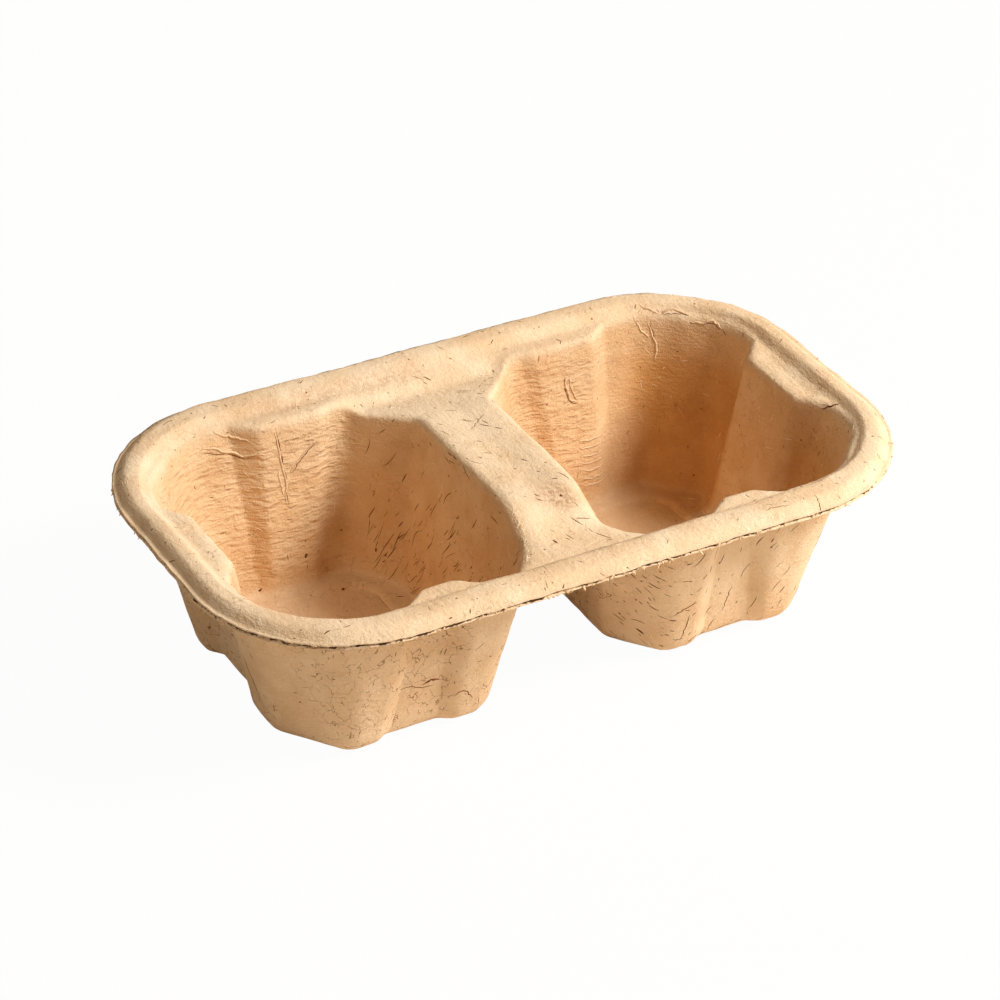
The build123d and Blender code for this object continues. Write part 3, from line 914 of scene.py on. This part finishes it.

# Cracks, long dark fibres and painted shade: points of their lines, and half width. The first seven
# run just below the raised folds above: dark lines of painted shade along the folds
crack_and_fold_shade_lines = [
    ([(-69.4, 48.5, 47.9), (-63, 48, 45.7), (-60, 47.8, 45.2), (-57.6, 46, 43.3),
      (-54.5, 44.2, 45)], 0.12),
    ([(-48.2, 45, 51.4), (-47.4, 43.4, 45.5), (-46.6, 41.9, 36), (-46.7, 40.6, 28.5)], 0.16),
    ([(-36.3, 43.5, 44.6), (-40.7, 42.9, 41.3), (-45, 42.2, 37.4)], 0.14),
    ([(43.7, 43.2, 43.3), (43.5, 42.7, 40.9), (44, 42.3, 38.1), (45, 41.8, 35),
      (47.6, 41.6, 34.1)], 0.20),
    ([(74.9, 48.1, 50.8), (75.6, 46.7, 47), (76.5, 45.1, 43.2)], 0.12),
    ([(78.5, 47.1, 52.9), (83.5, 44, 53.1), (85.3, 41.5, 52.7)], 0.13),
    ([(84.2, 40.7, 51.4), (89, 36.8, 52.4), (90.6, 33.4, 51.3)], 0.13),
    ([(-47.9, -40.7, 18.3), (-45.6, -40.9, 19.3), (-42.5, -40.7, 18.5)], 0.30),
    ([(-54.7, -41.1, 19.2), (-51, -40.9, 19.1), (-47.1, -40.5, 17), (-43.5, -40.5, 17.1)], 0.14),
    ([(-38.4, -41.8, 11.9), (-37.4, -42.7, 14.1), (-35.3, -42.7, 13.4), (-33, -41.8, 9.7)], 0.18),
    ([(-90.2, -16.3, 25.7), (-89.2, -17, 21.6), (-88.2, -18.3, 17.6), (-87.0, -20, 13)], 0.24),
    ([(-43.2, 37.6, 11.5), (-42.9, 37.5, 11.9), (-42.7, 37.4, 12.5)], 0.36),
    ([(-35.5, 30.2, 2.4), (-35.2, 30.0, 2.4), (-34.7, 30.1, 2.4)], 0.36),
    ([(-23.6, 32.2, 10.6), (-23.5, 32.2, 11.0), (-23.3, 32.2, 11.5)], 0.30),
    ([(-57.7, 37.8, 4.6), (-57.4, 37.9, 4.7), (-57.0, 37.9, 4.9)], 0.32),
    ([(4.6, -21.6, 51.4), (4.8, -21.9, 51.3), (4.9, -22.3, 51.2)], 0.28),
    ([(-4.6, -33.4, 46.5), (-4.2, -34.2, 46.3), (-3.9, -35.2, 46.2)], 0.26),
    ([(28.6, -43.3, 17), (31.6, -43.9, 18.7), (35.5, -44.3, 20.4)], 0.18),
    ([(32.7, -41.1, 6.7), (33.6, -42.3, 11.8), (34.1, -43.3, 15.9)], 0.17),
    ([(47.1, -39.4, 11), (48, -40.2, 15.6), (48.9, -41, 19.7)], 0.15),
    ([(92, -17.1, 51.4), (94, -19, 52.8), (95.7, -20.3, 54.3)], 0.26),
    ([(61.6, -59.3, 55.8), (61.4, -61.4, 53.9), (61, -63.9, 53.2)], 0.12),
    ([(45.8, -59.3, 55.8), (48.9, -59.3, 55.8), (53.1, -60.2, 55.7)], 0.12),
    ([(-2.1, 16.7, 53.2), (2.4, 20.3, 53.2), (5.4, 22.3, 53.2)], 0.10),
]
lines, half_widths = zip(*crack_and_fold_shade_lines)
strand_object("long_crack_and_fold_shade_lines", [through(line, 12) for line in lines], half_widths, 0.05, dark_fibre)

# The lip's torn edge: thin spikes of felt that point outward and down from it. Some crowd
# round the middle of the front, and the first few hang lowest.
spikes, crowded = 170, 36
spike_run = random.uniform(-half_rim, half_rim, spikes)
spike_run[:crowded] = -half_rim + random.exponential(16.0, crowded)
mirror = np.where(random.random(spikes) < 0.5, -1.0, 1.0)
base = rim_point(spike_run, 0.75, 0.75)
tip = rim_point(spike_run + random.normal(size=spikes) * 0.9, 0.25, 0.25)
start_height = random.uniform(51.9, 53.0, spikes)
drop = random.uniform(0.1, 1.0, spikes) ** 2.2
drop[:6] = (1.9, 1.6, 1.4, 1.2, 1.5, 1.3)
spike_share = np.linspace(0, 1, 5)[None, :, None]
flat_path = base[:, None] * (1 - spike_share) + tip[:, None] * spike_share
flat_path[..., 0] *= mirror[:, None]
fall = start_height[:, None] - drop[:, None] * (spike_share[..., 0] ** 1.4)
spike_paths = np.concatenate([flat_path, fall[..., None]], -1)
spike_up = np.stack([mirror * np.sign(base[:, 0]) * 0.3, np.sign(base[:, 1]) * 0.7,
                     0.2 * np.ones(spikes)], 1)
spike_widths = random.uniform(0.08, 0.34, spikes)
mesh_object("lip_burrs", *lens_rows(spike_paths, unit(spike_up)[:, None], spike_widths, 0.06), pulp)

# Combed felt along the front of the saddle's left shoulder
combed = 110
comb = through([(-9.8, -21.5, 51.4), (-10.6, -26.6, 49.8), (-12.0, -30.5, 48.4), (-13.6, -34.2, 47.0),
                (-15.5, -37.5, 47.0)], combed)
comb = comb + random.normal(size=comb.shape) * 0.35
heading = unit(np.array([-1.0, -0.45, -0.6]) + 0.25 * random.normal(size=comb.shape))
comb_reach = random.uniform(0.8, 2.4, (combed, 1, 1)) * np.linspace(-0.5, 0.5, 5)[None, :, None]
strand_object("combed_felt", comb[:, None] + heading[:, None] * comb_reach,
              random.uniform(0.05, 0.11, combed), 0.10, pale_fibre)

# Floor, light and camera
floor_half = 3.0
floor_mesh = bpy.data.meshes.new("studio_floor")
floor_corners = [(x * floor_half, y * floor_half, 0) for x, y in ((-1, -1), (1, -1), (1, 1), (-1, 1))]
floor_mesh.from_pydata(floor_corners, [], [(0, 1, 2, 3)])
floor = linked("studio_floor", floor_mesh)
paper = bpy.data.materials.new("studio_white")
n = Nodes(paper)
direct = n.times(n.seen(), 0.97)
plain = n.node("BsdfDiffuse", {}, {"Color": (0.86, 0.75, 0.62, 1)})
white = n.node("Emission", {}, {"Color": (1, 1, 1, 1), "Strength": 1.0})
blend = n.node("MixShader", {}, {0: direct, 1: plain, 2: white})
n.feed("Surface", blend, "Material Output")
floor_mesh.materials.append(paper)

# A white world where it is seen, and a dim, warm one for all other light
world = bpy.data.worlds.new("studio")
bpy.context.scene.world = world
n = Nodes(world)
seen = n.seen()
level = n.node("MapRange", {}, {"Value": seen, "To Min": 0.18, "To Max": 1.0})
n.feed("Strength", level, "Background")
n.feed("Color", n.mix(seen, (1.0, 0.80, 0.58, 1), (1, 1, 1, 1)), "Background")


def area_light(name, place, size, power, colour):
    """Square studio lamp at a place in metres, turned to the middle of the tray."""
    aim = Vector((0, 0, 0.03)) - Vector(place)
    lamp = bpy.data.lights.new(name, "AREA")
    lamp.size, lamp.energy, lamp.color = size, power, colour
    made = linked(name, lamp)
    made.location = place
    made.rotation_euler = aim.to_track_quat("-Z", "Y").to_euler()


area_light("key", (0.80, -0.60, 0.93), 0.50, 24.4, (1, 0.99, 0.97))
area_light("low_right", (1.35, -0.52, 0.22), 0.36, 3.0, (1, 0.98, 0.95))
area_light("left_fill", (-0.9, -0.10, 1.15), 0.9, 1.6, (1, 0.90, 0.78))

camera_data = bpy.data.cameras.new("camera")
camera = linked("camera", camera_data)
bpy.context.scene.camera = camera
azimuth, elevation, roll = map(math.radians, (-29.76, 32.803, 0.981))
back = Vector((math.sin(azimuth) * math.cos(elevation), -math.cos(azimuth) * math.cos(elevation),
               math.sin(elevation)))
right = Vector((math.cos(azimuth), math.sin(azimuth), 0))
up = back.cross(right)
right_rolled = right * math.cos(roll) + up * math.sin(roll)
up_rolled = up * math.cos(roll) - right * math.sin(roll)
camera.matrix_world = Matrix.Translation(Vector((-434.55, -756.94, 548.36 + lip_height)) * MM) @ \
    Matrix((right_rolled, up_rolled, back)).transposed().to_4x4()
camera_data.sensor_width = 36
camera_data.lens = 135.74
camera_data.clip_start, camera_data.clip_end = 0.05, 20
bpy.context.scene.view_settings.view_transform = "Standard"
